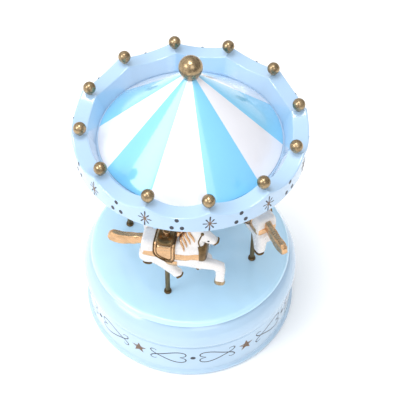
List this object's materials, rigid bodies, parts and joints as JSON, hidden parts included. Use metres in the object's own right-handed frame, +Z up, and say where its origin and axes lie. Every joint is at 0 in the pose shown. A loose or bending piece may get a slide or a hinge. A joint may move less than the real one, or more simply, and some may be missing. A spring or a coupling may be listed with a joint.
{
  "type": "carousel music box",
  "caption": "Carousel music box: horses on poles between a turntable and a scalloped canopy, turned by a pinned-cylinder movement in the round base.",
  "frame": {"origin": "centre of the base's resting face, on the axis that the carousel turns about", "axes": "+Z up along the axis of rotation, -Y the front, +X to the right seen from the front"},
  "size_m": [0.11, 0.11, 0.1671],
  "materials": {
    "base_blue": "glossy light blue moulded shell with gold print",
    "turntable_blue": "glossy light blue moulded disc",
    "crown_blue": "glossy light blue moulded ring with gold print",
    "canopy_white": "white moulding",
    "roof_panels": "glossy moulded cone, white and sky blue panels",
    "horse_paint": "cast resin, gloss white with gold painted harness",
    "pole_brass": "aged brass rod",
    "antique_gold": "antique gold plated metal",
    "bottom_black": "moulded, fine texture",
    "pad_rubber": "matt rubber",
    "washer_felt": "pressed white felt",
    "bedplate_zinc": "die-cast, satin",
    "gear_brass": "machined brass",
    "spring_steel": "hardened and ground",
    "screw_steel": "nickel plated",
    "worm_wheel_nylon": "moulded nylon",
    "fan_black": "moulded",
    "jewel_red": "polished synthetic jewel"
  },
  "bodies": {
    "base": {"base_drum": "base_blue", "bottom_plate": "bottom_black", "bottom_screws": "screw_steel", "foot_pads": "pad_rubber", "glide_washer": "washer_felt", "movement_bedplate": "bedplate_zinc", "bedplate_screws": "screw_steel", "arbor_bush": "gear_brass", "comb": "spring_steel", "comb_screws": "screw_steel", "bracket_inner": "gear_brass", "bracket_outer": "gear_brass", "bracket_screws": "screw_steel", "spring_housing": "bedplate_zinc", "housing_screws": "screw_steel", "mainspring": "spring_steel", "governor_frame": "gear_brass", "governor_screws": "screw_steel", "fan_bracket": "gear_brass", "fan_jewel": "jewel_red"},
    "carousel": {"turntable": "turntable_blue", "turntable_hub": "gear_brass", "hub_screws": "screw_steel", "winding_arbor": "screw_steel", "crown_gear": "gear_brass", "centre_rod": "screw_steel", "centre_post": "canopy_white", "pole_1": "pole_brass", "pole_2": "pole_brass", "pole_3": "pole_brass", "pole_4": "pole_brass", "pole_ferrules": "antique_gold", "horse_1": "horse_paint", "horse_2": "horse_paint", "horse_3": "horse_paint", "horse_4": "horse_paint", "canopy_board": "canopy_white", "canopy_screws": "screw_steel", "canopy_crown": "crown_blue", "crown_beads": "antique_gold", "canopy_roof": "roof_panels", "finial_collar": "antique_gold", "finial_ball": "antique_gold"},
    "cylinder": {"note_cylinder": "gear_brass", "cylinder_pins": "spring_steel", "cylinder_gear": "gear_brass", "drive_wheel": "gear_brass", "cylinder_arbor": "screw_steel"},
    "governor_1": {"governor_pinion_1": "gear_brass", "governor_wheel_1": "gear_brass", "governor_shaft_1": "screw_steel"},
    "governor_2": {"governor_pinion_2": "gear_brass", "worm_wheel": "worm_wheel_nylon", "governor_shaft_2": "screw_steel"},
    "fan": {"fan_worm": "screw_steel", "fan_vanes": "fan_black"}
  },
  "joints": [
    {"name": "carousel_spin", "type": "hinge", "parent": "base", "child": "carousel", "pos_m": [0, 0, 0.0376], "axis": [0, 0, 1], "continuous": true},
    {"name": "cylinder_spin", "type": "hinge", "parent": "base", "child": "cylinder", "pos_m": [0.02275, 0, 0.02], "axis": [1, 0, 0], "continuous": true},
    {"name": "governor_1_spin", "type": "hinge", "parent": "base", "child": "governor_1", "pos_m": [0.0325, -0.0096, 0.02], "axis": [1, 0, 0], "continuous": true},
    {"name": "governor_2_spin", "type": "hinge", "parent": "base", "child": "governor_2", "pos_m": [0.0325, -0.01688, 0.0158], "axis": [1, 0, 0], "continuous": true},
    {"name": "fan_spin", "type": "hinge", "parent": "base", "child": "fan", "pos_m": [0.032, -0.02272, 0.012], "axis": [0, 0, 1], "continuous": true}
  ],
  "couplings": [
    {"joint": "cylinder_spin", "follows": "carousel_spin", "ratio": -1.6667},
    {"joint": "governor_1_spin", "follows": "carousel_spin", "ratio": 5},
    {"joint": "governor_2_spin", "follows": "carousel_spin", "ratio": -12.5},
    {"joint": "fan_spin", "follows": "carousel_spin", "ratio": -250}
  ]
}
